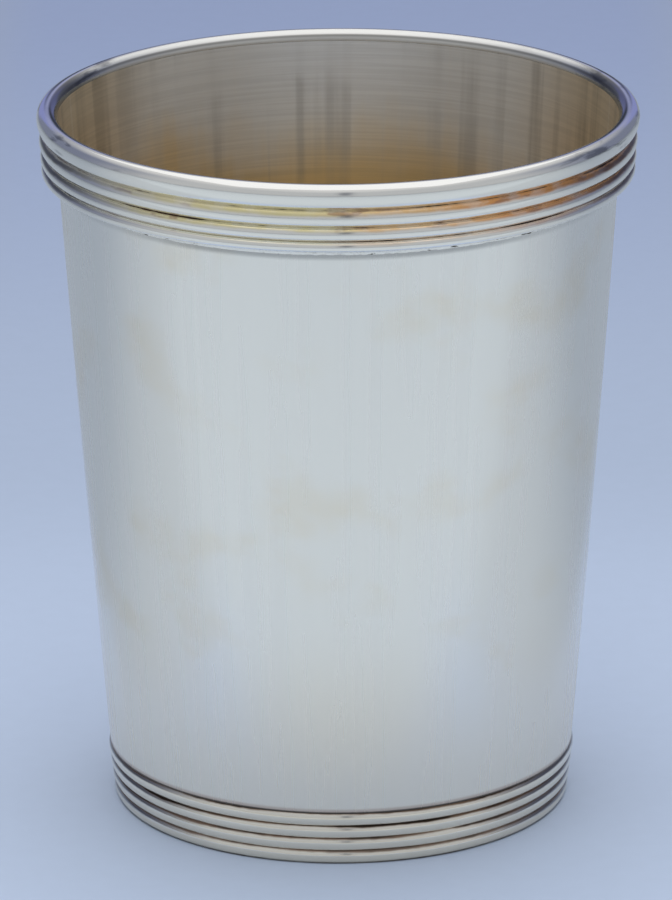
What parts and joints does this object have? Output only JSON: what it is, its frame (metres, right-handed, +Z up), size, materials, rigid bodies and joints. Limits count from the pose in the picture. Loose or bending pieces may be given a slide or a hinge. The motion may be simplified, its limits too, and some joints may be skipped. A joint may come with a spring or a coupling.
{
  "type": "julep cup",
  "caption": "Tapered metal drinking cup with a heavy rolled and reeded rim, a reeded base band and a flat bottom let in above the foot.",
  "frame": {"origin": "middle of the face that the cup stands on", "axes": "+Z up along the cup's axis, from the foot to the rim; X and Y are free, because the cup is round"},
  "size_m": [0.0794, 0.0794, 0.0953],
  "materials": {
    "silver_sheet": "polished silver sheet, softened by fine wear",
    "silver_moulding": "polished silver with tarnish left in the grooves",
    "silver_solder": "silver solder, slightly pitted"
  },
  "bodies": {
    "root": {"wall": "silver_sheet", "bottom_disc": "silver_sheet", "rim_moulding": "silver_moulding", "base_moulding": "silver_moulding", "rim_solder_seam": "silver_solder", "bottom_solder_seam": "silver_solder", "foot_solder_seam": "silver_solder"}
  },
  "joints": []
}
